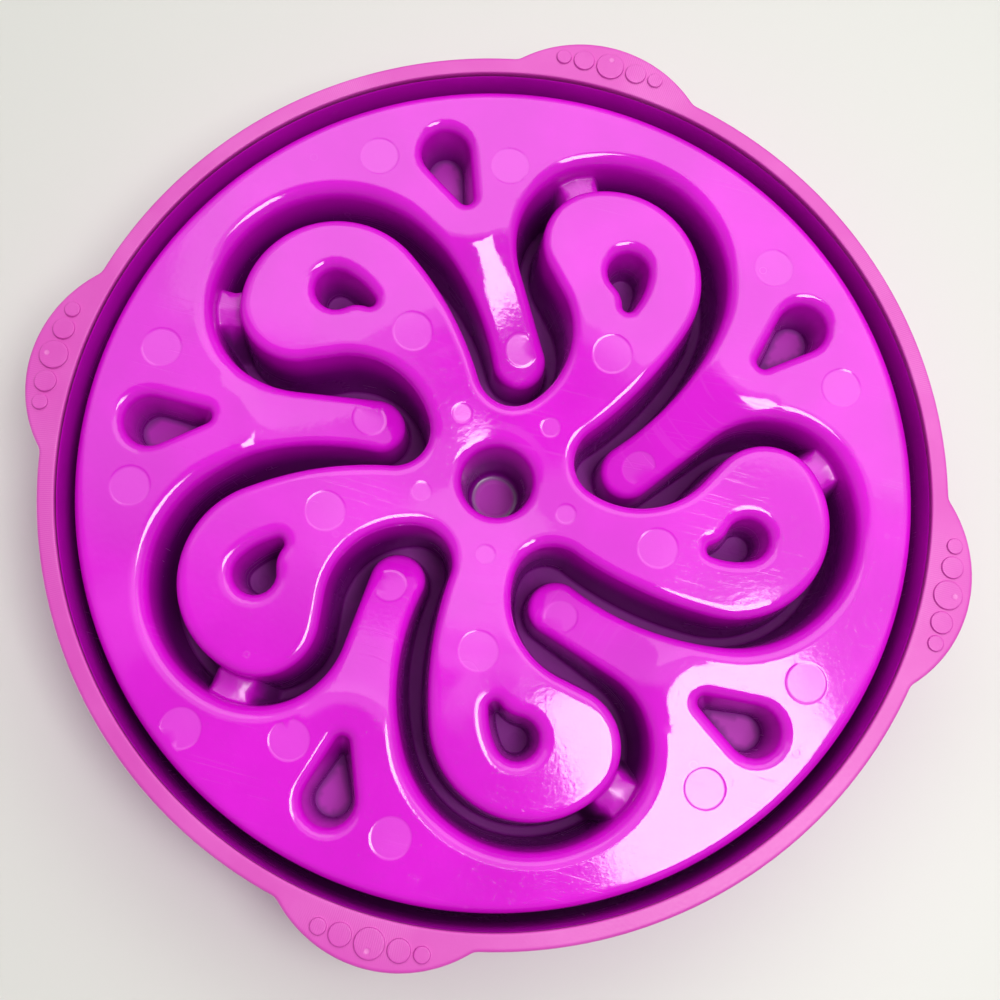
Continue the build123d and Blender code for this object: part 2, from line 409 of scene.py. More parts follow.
def outline(arcs, spacing=outline_spacing, steps=None):
    """Points along a closed outline of arcs and tangent lines, with their outward normals."""
    count = len(arcs)
    headings = [travel_angle(arcs[i], arcs[(i + 1) % count]) for i in range(count)]
    points, normals = [], []
    for i, (center, radius) in enumerate(arcs):
        turn = 1 if radius > 0 else -1
        sweep = turn * ((turn * (headings[i] - headings[i - 1])) % (2 * pi))
        pieces = steps or max(2, ceil(abs(sweep * radius) / spacing))
        for heading in headings[i - 1] + sweep * np.arange(pieces) / pieces:
            outward = np.array([sin(heading), -cos(heading)])
            points.append(center + outward * radius)
            normals.append(outward)
        outward = np.array([sin(headings[i]), -cos(headings[i])])
        next_center, next_radius = arcs[(i + 1) % count]
        leave = center + outward * radius
        arrive = next_center + outward * next_radius
        length = hypot(*(arrive - leave))
        if length > shortest_line:
            pieces = steps or max(1, ceil(length / spacing))
            for share in np.arange(pieces) / pieces:
                swell = 4 * line_swell * share * (1 - share)
                points.append(leave + (arrive - leave) * share + outward * swell)
                normals.append(outward)
    return np.array(points), np.array(normals)


def petal_axis(k):
    """Angle of petal k's axis."""
    return petal_angle + k * petal_step


def cap_and_shoulder(k):
    """Centres of the round cap of petal k and of the tighter shoulder beside it."""
    cap = polar(petal_cap_distance, petal_axis(k))
    turn = petal_axis(k) + petal_shoulder_turn
    return cap, cap + polar(petal_cap_radius - petal_shoulder_radius, turn)


def petal_side_arcs():
    """Outline of the petals and the middle: the channel's inner edge at the floor's underside."""
    arcs = []
    for k in range(petal_count):
        cap, shoulder = cap_and_shoulder(k)
        throat = polar(throat_distance, petal_axis(k) + throat_turn)
        neck = throat - polar(neck_radius - throat_radius, petal_axis(k) + neck_turn)
        next_throat = polar(throat_distance, petal_axis(k + 1) + throat_turn)
        flank = touching_center((cap, petal_cap_radius), (next_throat, -throat_radius), petal_flank_radius, 1)
        arcs += [(throat, -throat_radius), (neck, -neck_radius), (shoulder, petal_shoulder_radius)]
        arcs += [(cap, petal_cap_radius), (flank, petal_flank_radius)]
    return arcs


def finger_side_arcs():
    """Outline of the whole flower: the channel's outer edge at the floor's underside."""
    arcs = []
    cap_radius = petal_cap_radius + channel_width
    for k in range(petal_count):
        cap, shoulder = cap_and_shoulder(k)
        tip = polar(finger_distance, petal_axis(k) + finger_turn)
        next_tip = polar(finger_distance, petal_axis(k + 1) + finger_turn)
        flank = touching_center((cap, cap_radius), (next_tip, -finger_tip_radius), finger_flank_radius, 1)
        arcs += [(tip, -finger_tip_radius), (shoulder, petal_shoulder_radius + channel_width)]
        arcs += [(cap, cap_radius), (flank, finger_flank_radius)]
    return arcs


def outer_drop_arcs(k, height):
    """Drop outside a finger, at a height above the floor's underside, where it is smaller."""
    head_distance, head_turn, head_radius = outer_drop_head
    tail_distance, tail_turn, tail_radius = outer_drop_tail
    head = polar(head_distance, petal_axis(k) + head_turn)
    tail = polar(tail_distance, petal_axis(k) + tail_turn)
    tail = tail + (head - tail) / hypot(*(head - tail)) * height * tan(radians(drop_tail_slope))
    end_radius = drop_tip_radius if height > 0 else tail_radius
    return [(head, head_radius - height * tan(radians(drop_draft))), (tail, end_radius)]


def inner_drop_arcs(k, height):
    """Comma-shaped drop in a petal, at a height above the floor's underside, where it is smaller."""
    head_distance, head_turn, head_radius = inner_drop_head
    tail_distance, tail_turn, tail_radius = inner_drop_tail
    taper = height * tan(radians(drop_draft))
    head = polar(head_distance, petal_axis(k) + head_turn)
    tail = polar(tail_distance, petal_axis(k) + tail_turn)
    tail = tail + (head - tail) / hypot(*(head - tail)) * taper
    head_arc = (head, head_radius - taper)
    tail_arc = (tail, drop_tip_radius if height > 0 else tail_radius)
    back = touching_center(head_arc, tail_arc, inner_drop_back_radius, 1)
    waist = touching_center(head_arc, tail_arc, -inner_drop_waist_radius, 1)
    return [head_arc, (back, inner_drop_back_radius), tail_arc, (waist, -inner_drop_waist_radius)]


def dome_level(points):
    """Height of the petals' floor above its flat part: it rises gently to the middle."""
    distance = np.hypot(points[:, 0], points[:, 1])
    return dome_rise / dome_radius * smooth_ramp(dome_radius - distance, dome_blend)


def ramp_level(points):
    """Height of the outer floor above its flat part: each finger is a ramp towards the middle."""
    level = np.zeros(len(points))
    for k in range(petal_count):
        start = polar(ramp_start, petal_axis(k) + ramp_start_turn)
        tip = polar(finger_distance, petal_axis(k) + finger_turn)
        ahead = (tip - start) / hypot(*(tip - start))
        pivot = start - ahead * ramp_arc_radius
        reach = points - pivot
        span = np.hypot(reach[:, 0], reach[:, 1])
        across = reach[:, 0] * ahead[1] - reach[:, 1] * ahead[0]
        inside = (np.abs(across) < ramp_half_width) & (span < ramp_reach)
        toward = reach @ ahead / np.maximum(span, tolerance)
        share = np.clip((toward - ramp_fade_low) / ramp_fade_range, 0, 1)
        fade = share * share * (3 - 2 * share)
        rise = tan(radians(ramp_slope)) * smooth_ramp(span - ramp_arc_radius, ramp_blend) * fade
        level = np.where(inside, np.maximum(level, rise), level)
    return level


def ridge_level(points, high, low, half_width):
    """Height of the ridge, which drops to a creased saddle at the outer end of each petal."""
    level = np.full(len(points), high)
    crease = tan(radians(saddle_crease))
    for k in range(petal_count):
        shoulder = cap_and_shoulder(k)[1]
        heading = petal_axis(k) + saddle_turn
        reach = points - shoulder
        across = np.abs(reach @ polar(1, heading + 90))
        near = (reach @ polar(1, heading) > 0) & (across < saddle_reach)
        flank = smooth_ramp((across - half_width) / tan(radians(saddle_flare)), saddle_blend)
        notch = low + across * crease + flank
        level = np.where(near, high - smooth_ramp(high - notch, saddle_blend / 2), level)
    return level


def hollow_share(depth):
    """Zero at the mouth of a hollow, one far down in it; it sets how much dullness and painted shade a point
    gets.
    """
    return np.clip((depth - hollow_start) / hollow_range, 0, 1)


class Surface:
    """Points and faces of one closed piece. Each point says how marked and dull it is, and how much painted
    shade it gets far down in a hollow.
    """

    def __init__(self):
        self.points = []
        self.faces = []
        self.looks = {"mark": [], "dull": [], "painted_shade": []}

    def add(self, points, mark=0.0, dull=0.0, painted_shade=0.0):
        """Adds points and gives their numbers."""
        start = len(self.points)
        self.points += [tuple(p) for p in points]
        for look, value in (("mark", mark), ("dull", dull), ("painted_shade", painted_shade)):
            self.looks[look] += np.broadcast_to(value, len(points)).tolist()
        return np.arange(start, start + len(points))

    def bands(self, rows, hollow_rows=0, dull_rows=0):
        """Closed bands of faces between rows of points, the first rows in a hollow with painted shade and the
        last ones dull.

        Gives the numbers of the points in the first and in the last row."""
        mouth = rows[0][:, 2]
        numbers = []
        for i, row in enumerate(rows):
            share = hollow_share(row[:, 2] - mouth)
            # Rows that go down into a hollow get painted shade, more the farther down they are.
            painted_shade = share if i < hollow_rows else 0.0
            dull = share if i >= len(rows) - dull_rows else 0.0
            numbers.append(self.add(row, dull=dull, painted_shade=painted_shade))
        for low, high in zip(numbers, numbers[1:]):
            quads = np.stack([low, np.roll(low, -1), np.roll(high, -1), high], axis=1)
            self.faces += quads.tolist()
        return numbers[0], numbers[-1]

    def patch(self, borders, level, spacing=floor_spacing, spots=(), pale=1.0, dull=0.0, painted_shade=0.0):
        """Fills the region between closed borders. Points inside get their height from a function."""
        rings = [np.array([self.points[i][:2] for i in border]) for border in borders]
        numbers = np.concatenate(borders)
        edges, start = [], 0
        for border in borders:
            count = len(border)
            edges += [(start + i, start + (i + 1) % count) for i in range(count)]
            start += count
        places = np.vstack(rings + [inner_points(rings, spacing, spots)])
        cut = delaunay_2d_cdt([Vector(p) for p in places], edges, [], 0, merge_distance, True)
        new_places, new_faces, sources = cut[0], np.array(cut[2]), cut[3]
        flat = np.array([tuple(p) for p in new_places])
        on_border = np.array([bool(source) and source[0] < len(numbers) for source in sources])
        only_border = on_border[new_faces].all(axis=1)
        keep = ~only_border
        keep[only_border] = inside_rings(flat[new_faces[only_border]].mean(axis=1), rings)
        heights = level(flat)
        marked = spot_shares(flat, spots)
        shares = hollow_share(heights - floor_underside)
        index = []
        for i, source in enumerate(sources):
            if on_border[i]:
                index.append(int(numbers[source[0]]))
            else:
                point = (flat[i, 0], flat[i, 1], heights[i] + mark_depth * marked[i])
                # Points far down in a hollow get more dullness and painted shade.
                added = self.add([point], pale * marked[i], dull * shares[i], painted_shade * shares[i])
                index.append(int(added[0]))
        self.faces += [[index[i] for i in face] for face in new_faces[keep]]

    def make(self, name, material):
        """Mesh object of this surface, smooth and with its faces turned outwards."""
        mesh = bpy.data.meshes.new(name)
        mesh.from_pydata((np.array(self.points) * MM).tolist(), [], self.faces)
        shape = bmesh.new()
        shape.from_mesh(mesh)
        bmesh.ops.recalc_face_normals(shape, faces=shape.faces)
        shape.to_mesh(mesh)
        shape.free()
        mesh.shade_smooth()
        for look, values in self.looks.items():
            value = mesh.attributes.new(look, "FLOAT", "POINT")
            value.data.foreach_set("value", np.array(values, np.float32))
        mesh.materials.append(material)
        piece = bpy.data.objects.new(name, mesh)
        bpy.context.scene.collection.objects.link(piece)
        return piece


def inside_rings(points, rings):
    """Which points lie inside an odd number of closed rings."""
    odd = np.zeros(len(points), bool)
    x, y = points[:, 0:1], points[:, 1:2]
    for ring in rings:
        after = np.roll(ring, -1, axis=0)
        spans = (ring[:, 1] > y) != (after[:, 1] > y)
        rise = after[:, 1] - ring[:, 1]
        rise = np.where(np.abs(rise) < least_rise, least_rise, rise)
        crossing = ring[:, 0] + (y - ring[:, 1]) / rise * (after[:, 0] - ring[:, 0])
        odd ^= (np.sum(spans & (x < crossing), axis=1) % 2).astype(bool)
    return odd


def inner_points(rings, spacing, spots):
    """Even points inside a region, clear of its borders, with rings of points round the edge of each spot."""
    border = np.vstack(rings)
    tree = KDTree(len(border))
    for i, (x, y) in enumerate(border):
        tree.insert((x, y, 0), i)
    tree.balance()

    def kept(points, clearance):
        points = points[inside_rings(points, rings)]
        clear = [tree.find((x, y, 0))[2] > clearance for x, y in points]
        return points[np.array(clear, bool)]

    low, high = border.min(axis=0), border.max(axis=0)
    grid = []
    for row, y in enumerate(np.arange(low[1], high[1], spacing * sqrt(3) / 2)):
        grid += [(x, y) for x in np.arange(low[0] + (row % 2) * spacing / 2, high[0], spacing)]
    grid = kept(np.array(grid).reshape(-1, 2), border_clearance * spacing)
    edges = []
    for center, radius in spots:
        away = np.abs(np.hypot(*(grid - center).T) - radius)
        grid = grid[away > mark_clearance * mark_edge]
        count = ceil(2 * pi * radius / (mark_spacing * mark_edge))
        for steps in mark_rings:
            distance = radius + steps * mark_edge
            edges += [center + polar(distance, 360 * i / count) for i in range(count)]
    if edges:
        grid = np.vstack([grid, kept(np.array(edges), mark_edge)])
    return grid


def spot_shares(points, spots):
    """One inside a spot, zero outside."""
    shares = np.zeros(len(points))
    for center, radius in spots:
        shares = np.where(np.hypot(*(points - center).T) < radius, 1.0, shares)
    return shares


def raised(level, height):
    """A height function moved up."""
    return lambda points: level(points) + height


def even(height):
    """A height function that is the same all over."""
    return lambda points: np.full(len(points), height)


def lifted(points, height):
    """Flat points at a height, which is one number or one per point."""
    return np.column_stack([points, np.broadcast_to(height, len(points))])


def wall_rows(points, toward, base, floor, end, draft, foot_round, end_round):
    """Rows of a leaning wall along an outline: a rounded foot on the floor, the wall and a rounded end."""
    lean = tan(radians(draft))

    def place(offset):
        return points + toward * offset[:, None]

    def wall_offset(z):
        return base + (z - floor_underside) * lean

    middle = floor(points) + foot_round
    for _ in range(foot_fits):
        foot = wall_offset(middle) - foot_round
        slope = (floor(place(foot + slope_probe)) - floor(place(foot - slope_probe))) / (2 * slope_probe)
        first = np.arctan(slope)
        middle = floor(place(foot + foot_round * np.sin(first))) + foot_round * np.cos(first)
    finish = end(points)
    for _ in range(end_fits):
        finish = end(place(wall_offset(finish - end_round) + end_round))
    begin = foot + foot_round * np.sin(first) - lead
    rows = [lifted(place(begin), floor(place(begin)))]
    for share in np.linspace(0, 1, ridge_foot_steps):
        angle = first + (pi / 2 - first) * share
        rows.append(lifted(place(foot + foot_round * np.sin(angle)), middle - foot_round * np.cos(angle)))
    for share in np.linspace(0, 1, ridge_wall_steps)[1:]:
        z = middle + (finish - end_round - middle) * share
        rows.append(lifted(place(wall_offset(z)), z))
    top = wall_offset(finish - end_round)
    for angle in np.linspace(0, pi / 2, end_steps)[1:]:
        z = finish - end_round + end_round * sin(angle)
        rows.append(lifted(place(top + end_round * (1 - cos(angle))), z))
    return rows


def drop_rows(arcs_at, k, side, end):
    """Rows of a tapered drop: a rounded foot on the floor, the wall and a rounded end."""
    floor, foot_round = side.floor, side.post_foot
    mouth, outward = outline(arcs_at(k, 0), steps=drop_steps)
    tip, tip_outward = outline(arcs_at(k, end - side.grow - floor_underside), steps=drop_steps)
    mouth = mouth + outward * side.grow
    tip = tip + tip_outward * side.grow
    end_round = min(side.post_end, tip_rounding_share * (drop_tip_radius + side.grow))

    def wall(z):
        return mouth + (tip - mouth) * (z - floor) / (end - floor)

    rows = [lifted(wall(floor + foot_round) + outward * (foot_round + lead), floor)]
    for angle in np.linspace(0, pi / 2, drop_foot_steps):
        z = floor + foot_round - foot_round * cos(angle)
        rows.append(lifted(wall(floor + foot_round) + outward * foot_round * (1 - sin(angle)), z))
    for share in np.linspace(0, 1, drop_wall_steps)[1:]:
        z = floor + foot_round + (end - end_round - floor - foot_round) * share
        rows.append(lifted(wall(z), z))
    for angle in np.linspace(0, pi / 2, end_steps)[1:]:
        z = end - end_round + end_round * sin(angle)
        rows.append(lifted(wall(end - end_round) - tip_outward * end_round * (1 - cos(angle)), z))
    return rows


def circle(radius, count=round_steps):
    """Points on a circle about the bowl's axis, with their outward normals."""
    angles = 2 * pi * np.arange(count) / count
    outward = np.column_stack([np.cos(angles), np.sin(angles)])
    return outward * radius, outward


def turned(profile):
    """Rows of a profile of radius and height turned about the bowl's axis."""
    outward = circle(1)[1]
    return [lifted(outward * radius, z) for radius, z in profile]


def corner(before, at, after, radius, steps=corner_steps):
    """Points of a rounded corner between two straight lines of a profile."""
    before, at, after = (np.array(p, float) for p in (before, at, after))
    first = (before - at) / hypot(*(before - at))
    second = (after - at) / hypot(*(after - at))
    half = np.arccos(np.clip(first @ second, -1, 1)) / 2
    setback = radius / tan(half)
    middle = at + (first + second) / hypot(*(first + second)) * radius / sin(half)
    start, stop = at + first * setback - middle, at + second * setback - middle
    sweep = np.sign(start[0] * stop[1] - start[1] * stop[0]) * (pi - 2 * half)
    angles = atan2(start[1], start[0]) + sweep * np.linspace(0, 1, steps)
    return [tuple(middle + radius * np.array([cos(angle), sin(angle)])) for angle in angles]


def maze_side(surface, side, petal_spots):
    """Adds one side of the floor with its maze, but for the outer floor.

    Gives that floor's borders at the ridge and at the posts, and its height function."""
    petal_floor = raised(dome_level, side.floor)
    outer_floor = raised(ramp_level, side.floor)
    hollow = float(side.is_hollow)

    def top(points):
        return ridge_level(points, side.ridge_top, side.saddle_low, side.saddle_half)

    def add_wall(rows, dull_rows):
        # On the underside all rows of a wall get painted shade as they go down into the hollow.
        return surface.bands(rows, len(rows) if side.is_hollow else 0, dull_rows)

    points, outward = outline(petal_side_arcs())
    petal_rows = wall_rows(points, outward, -side.grow, petal_floor, top, ridge_draft,
                           side.ridge_foot, side.ridge_end)
    points, outward = outline(finger_side_arcs())
    lane_share = np.clip((np.hypot(*points.T) - lane_inner_radius) / lane_blend, 0, 1)
    finger_foot = side.ridge_foot + (side.lane_foot - side.ridge_foot) * lane_share
    finger_rows = wall_rows(points, -outward, -side.grow, outer_floor, top, ridge_draft,
                            finger_foot, side.ridge_end)
    ridge_dull_rows = pocket_dull_rows if side.is_hollow else 0
    petal_border, petal_end = add_wall(petal_rows, ridge_dull_rows)
    finger_border, finger_end = add_wall(finger_rows, ridge_dull_rows)
    # From below, the far ends of the channels get painted shade.
    surface.patch([petal_end, finger_end], top, dull=hollow * end_dull, painted_shade=hollow * channel_painted_shade)

    inner_borders, outer_borders = [], []
    # From below, the walls and ends of the pockets and of the centre post get painted shade.
    for k in range(petal_count):
        first, last = add_wall(drop_rows(outer_drop_arcs, k, side, side.outer_post), pocket_dull_rows)
        surface.patch([last], even(side.outer_post), pocket_spacing,
                      dull=end_dull, painted_shade=hollow * outer_end_painted_shade)
        outer_borders.append(first)
        first, last = add_wall(drop_rows(inner_drop_arcs, k, side, side.inner_post), pocket_dull_rows)
        surface.patch([last], even(side.inner_post), pocket_spacing, pocket_pins(k) if side.is_hollow else [],
                      pin_paleness, end_dull, hollow * inner_end_painted_shade)
        inner_borders.append(first)
    points, outward = circle(centre_post_radius, centre_steps)
    centre_rows = wall_rows(points, -outward, -side.grow, petal_floor, even(side.centre_post),
                            centre_post_draft, side.post_foot, side.post_end)
    first, last = add_wall(centre_rows, 0)
    centre_mark = [(np.zeros(2), centre_mark_radius)] if side.is_hollow else []
    surface.patch([last], even(side.centre_post), floor_spacing, centre_mark,
                  pin_paleness, end_dull, hollow * centre_end_painted_shade)
    surface.patch([petal_border, first] + inner_borders, petal_floor, spots=petal_spots)
    return [finger_border] + outer_borders, outer_floor


def pocket_pins(k):
    """Place and radius of the pin mark at the end of the pocket in petal k."""
    head_distance, head_turn, _ = inner_drop_head
    return [(polar(head_distance, petal_axis(k) + head_turn), pin_radius)]


def ejector_spots():
    """Places and radii of the ejector marks on the petals' floor and on the outer floor."""
    petal_spots, outer_spots = [], []
    for k in range(petal_count):
        for (distance, turn, radius), spots in (
            (petal_marks, petal_spots),
            (small_marks, petal_spots),
            (finger_marks, outer_spots),
            (outer_marks, outer_spots),
        ):
            spots.append((polar(distance, petal_axis(k) + turn), radius))
    outer_spots += [(polar(distance, angle), outer_marks[2]) for distance, angle in single_marks]
    return petal_spots, outer_spots


def bowl_surface():
    """The whole bowl shell: its underside, its food side, and the wall, rim and skirt that join them."""
    surface = Surface()
    petal_spots, outer_spots = ejector_spots()
    under_borders, under_floor = maze_side(surface, under_side, petal_spots)
    food_borders, food_floor = maze_side(surface, food_side, [])
    profile, groove_rows = wall_profile()
    # The rows down in the groove between wall and skirt get painted shade.
    under_edge, food_edge = surface.bands(turned(profile), groove_rows)
    surface.patch([under_edge] + under_borders, under_floor, spots=outer_spots)
    surface.patch([food_edge] + food_borders, food_floor)
    return surface


def wall_profile():
    """Profile from the floor's underside up the wall, down the skirt, over the rim and to the food side.

    Gives also how many of its points are in the groove between the wall and the skirt."""
    lean = tan(radians(side_draft))
    hollow_end = bowl_height - rim_wall
    wall_foot = (wall_radius, floor_underside)
    wall_top = (wall_radius + lean * (hollow_end - floor_underside), hollow_end)
    outer_top = (skirt_outer_radius - lean * (hollow_end - seat_level), hollow_end)
    skirt_top = (outer_top[0] - skirt_thickness, hollow_end)
    skirt_foot = (skirt_outer_radius - skirt_thickness, seat_level)
    outer_foot = (skirt_outer_radius, seat_level)
    inner_top = (wall_top[0] - wall_thickness, hollow_end)
    inner_foot = (wall_radius - wall_thickness, floor_top)
    floor_edge = (wall_radius - under_corner - lead, floor_underside)
    profile = [floor_edge]
    profile += corner(floor_edge, wall_foot, wall_top, under_corner, under_corner_steps)
    profile += corner(wall_foot, wall_top, skirt_top, edge_rounding)
    profile += corner(wall_top, skirt_top, skirt_foot, edge_rounding)
    for share in np.linspace(0, 1, skirt_steps + 1)[1:]:
        profile.append(tuple(np.array(skirt_top) + (np.array(skirt_foot) - skirt_top) * share * skirt_share))
    groove_rows = len(profile)
    profile += corner(skirt_top, skirt_foot, outer_foot, edge_rounding)
    profile += corner(skirt_foot, outer_foot, outer_top, edge_rounding)
    middle = (outer_top[0] + inner_top[0]) / 2
    half = (outer_top[0] - inner_top[0]) / 2
    for angle in np.linspace(0, pi, rim_steps):
        profile.append((middle + half * cos(angle), hollow_end + rim_wall * sin(angle)))
    food_edge = (inner_foot[0] - food_corner - lead, floor_top)
    profile += corner(inner_top, inner_foot, food_edge, food_corner, food_corner_steps)
    profile.append(food_edge)
    return profile, groove_rows


def ring_outline():
    """Outline of the ring with its tabs, and the outward normals."""
    origin = np.zeros(2)
    arcs = []
    for tab in range(tab_count):
        angle = 360 * tab / tab_count
        tab_arc = (polar(tab_reach - tab_arc_radius, angle), tab_arc_radius)
        before = touching_center(tab_arc, (origin, ring_radius), -tab_corner_radius, 1)
        after = touching_center(tab_arc, (origin, ring_radius), -tab_corner_radius, -1)
        arcs += [(before, -tab_corner_radius), tab_arc, (after, -tab_corner_radius), (origin, ring_radius)]
    return outline(arcs, ring_spacing)


def ring_surface():
    """The base ring: a flat foot with tabs and foot discs, and a collar round the skirt."""
    surface = Surface()
    points, outward = ring_outline()
    away = np.hypot(points[:, 0], points[:, 1])
    radial = points / away[:, None]
    on_tab = np.clip((away - ring_radius) / (2 * tab_edge_rounding), 0, 1)
    rounding = tab_edge_rounding
    rows = [lifted(points - outward * (rounding + lead / 2), ring_underside)]
    for angle in np.linspace(0, pi / 2, ring_edge_steps):
        rows.append(lifted(points - outward * rounding * (1 - sin(angle)),
                           ring_underside + rounding * (1 - cos(angle))))
    for angle in np.linspace(0, pi / 2, ring_edge_steps):
        inset = rounding * (1 - cos(angle)) * on_tab
        rows.append(lifted(points - outward * inset[:, None], tab_top - rounding + rounding * sin(angle)))
    edge = points - outward * (rounding * on_tab)[:, None]
    for share in np.linspace(0, 1, ring_edge_steps)[1:]:
        place = edge + (radial * ring_radius - edge) * share
        rows.append(lifted(place, tab_top + lead * share))
    collar_top = (ring_radius, ring_top)
    collar_inner_top = (collar_inner_radius, ring_top)
    seat_outer = (collar_inner_radius, seat_level)
    seat_inner = (ring_bore_radius, seat_level)
    bore_foot = (ring_bore_radius, ring_underside)
    profile = corner((ring_radius, tab_top), collar_top, collar_inner_top, collar_rounding)
    profile += corner(collar_top, collar_inner_top, seat_outer, edge_rounding)
    profile += [seat_outer, seat_inner]
    profile += corner(seat_inner, bore_foot, (ring_radius, ring_underside), edge_rounding)
    profile.append((ring_bore_radius + 2 * edge_rounding, ring_underside))
    rows += [lifted(radial * radius, z) for radius, z in profile]
    borders = list(surface.bands(rows))
    for center, radius in foot_discs():
        borders.append(foot_disc(surface, center, radius))
    surface.patch(borders, even(ring_underside))
    return surface


def foot_discs():
    """Centres and radii of the foot discs on all tabs."""
    discs = []
    for tab in range(tab_count):
        along = -sum(foot_diameters) / 2 - foot_gap * (len(foot_diameters) - 1) / 2
        for diameter in foot_diameters:
            along += diameter / 2
            swing = 360 * tab / tab_count + degrees(along / foot_row_radius)
            discs.append((polar(foot_row_radius, swing), diameter / 2))
            along += diameter / 2 + foot_gap
    return discs


def foot_disc(surface, center, radius):
    """Adds one foot disc below the ring and gives its border on the ring's underside."""
    outward = circle(1, foot_disc_steps)[1]
    angles = np.linspace(0, pi / 2, foot_edge_steps)
    r = foot_rounding
    profile = [(radius + r + foot_disc_lead, ring_underside)]
    profile += [(radius + r * (1 - sin(a)), ring_underside - r * (1 - cos(a))) for a in angles]
    profile += [(radius - r * (1 - cos(a)), r * (1 - sin(a))) for a in angles]
    profile.append((radius - 2 * r, 0.0))
    first, last = surface.bands([lifted(center + outward * distance, z) for distance, z in profile])
    largest = radius > max(foot_diameters) / 2 - tolerance
    gate = center * (1 + gate_offset / foot_row_radius)
    surface.patch([last], even(0.0), spots=[(gate, gate_radius)] if largest else [])
    return first


def add_node(tree, kind, inputs=None, **settings):
    """Adds a shader node, with its settings and with values or links for its inputs."""
    made = tree.nodes.new(kind)
    for name, value in settings.items():
        setattr(made, name, value)
    for name, value in (inputs or {}).items():
        if isinstance(value, bpy.types.NodeSocket):
            tree.links.new(value, made.inputs[name])
        else:
            made.inputs[name].default_value = value
    return made


def compute(tree, operation, first, second=0.0, third=0.0):
    """One arithmetic step of a material. Gives its output."""
    return add_node(tree, "ShaderNodeMath", {0: first, 1: second, 2: third}, operation=operation).outputs[0]


def noise(tree, place, scale, detail=3.0):
    """Noise from zero to one at a number of features per metre."""
    inputs = {"Vector": place, "Scale": scale, "Detail": detail}
    return add_node(tree, "ShaderNodeTexNoise", inputs).outputs["Fac"]


def between(tree, value, low, high):
    """Zero at low, one at high and smooth between them."""
    inputs = {"Value": value, "From Min": low, "From Max": high, "To Min": 0.0, "To Max": 1.0}
    made = add_node(tree, "ShaderNodeMapRange", inputs, interpolation_type="SMOOTHSTEP")
    return made.outputs["Result"]


def attribute(tree, name):
    """Number that each point of the mesh carries."""
    return add_node(tree, "ShaderNodeAttribute", attribute_name=name).outputs["Fac"]


def mix_color(tree, share, first, second):
    """Colour between two colours or colour outputs. The node's colour sockets are told apart by number."""
    return add_node(tree, "ShaderNodeMix", {0: share, 6: first, 7: second}, data_type="RGBA").outputs[2]


def bumped(tree, shader, height, strength, distance):
    """Gives a shader the fine relief of a height."""
    inputs = {"Height": height, "Strength": strength, "Distance": distance * MM}
    bump = add_node(tree, "ShaderNodeBump", inputs)
    tree.links.new(bump.outputs["Normal"], shader.inputs["Normal"])


def scratches(tree, place, angle, stretch, seldom):
    """Fine scratches in patches, drawn out by a stretch in three directions."""
    inputs = {"Vector": place, "Rotation": (0, 0, radians(angle)), "Scale": stretch}
    along = add_node(tree, "ShaderNodeMapping", inputs).outputs["Vector"]
    lines = between(tree, noise(tree, along, 1.0, scratch_detail), seldom, seldom + scratch_edge)
    patches = between(tree, noise(tree, place, scratch_patch_scale), *scratch_patch_limits)
    return compute(tree, "MULTIPLY", lines, patches)


def water_spots(tree, place):
    """Thin rings left by a few dried drops."""
    cells = add_node(tree, "ShaderNodeTexVoronoi", {"Vector": place, "Scale": spot_scale}).outputs
    chance = add_node(tree, "ShaderNodeSeparateXYZ", {"Vector": cells["Color"]}).outputs["X"]
    kept = compute(tree, "GREATER_THAN", chance, spot_seldom)
    ring = compute(tree, "ABSOLUTE", compute(tree, "SUBTRACT", cells["Distance"], spot_radius))
    return compute(tree, "MULTIPLY", kept, between(tree, ring, spot_line, 0.0))


def start_material(name):
    """New material with its node tree, its shader and the place on the part in metres."""
    material = bpy.data.materials.new(name)
    material.use_nodes = True
    tree = material.node_tree
    place = add_node(tree, "ShaderNodeTexCoord").outputs["Object"]
    return material, tree, tree.nodes["Principled BSDF"], place


def magenta_plastic():
    """Glossy moulded plastic, a little scratched and stained, paler on the ejector marks.

    Painted shade darkens its colour towards the far end of each hollow of the underside and down the groove
    by the skirt, which are rougher too."""
    material, tree, shader, place = start_material("magenta_plastic")
    mark = attribute(tree, "mark")
    dull = attribute(tree, "dull")
    painted_shade = attribute(tree, "painted_shade")
    smudge = noise(tree, place, smudge_scale, smudge_detail)
    grain = noise(tree, place, grain_scale, fine_detail)
    pits = between(tree, noise(tree, place, pit_scale, fine_detail), *pit_limits)
    lines = water_spots(tree, place)
    for angle, stretch, seldom in plastic_scratches:
        lines = compute(tree, "MAXIMUM", lines, scratches(tree, place, angle, stretch, seldom))
    color = mix_color(tree, between(tree, smudge, *smudge_limits), plastic_deep, plastic_color)
    pale_mark = compute(tree, "MULTIPLY", mark, mark_paleness)
    pale_line = compute(tree, "MULTIPLY", lines, line_paleness)
    color = mix_color(tree, compute(tree, "MAXIMUM", pale_mark, pale_line), color, plastic_pale)
    # Painted shade: the colour goes dark far down in the hollows.
    color = mix_color(tree, painted_shade, color, painted_hollow_shade)
    tree.links.new(color, shader.inputs["Base Color"])
    rough = plastic_rough
    for share, added in (
        (smudge, smudge_rough),
        (lines, line_rough),
        (mark, mark_rough),
        (dull, dull_rough),
        (painted_shade, deep_rough),
    ):
        rough = compute(tree, "MULTIPLY_ADD", share, added, rough)
    tree.links.new(rough, shader.inputs["Roughness"])
    height = compute(tree, "MULTIPLY_ADD", lines, line_height, grain)
    height = compute(tree, "MULTIPLY_ADD", pits, pit_height, height)
    bumped(tree, shader, height, plastic_bump, plastic_bump_distance)
    shader.inputs["IOR"].default_value = plastic_ior
    return material


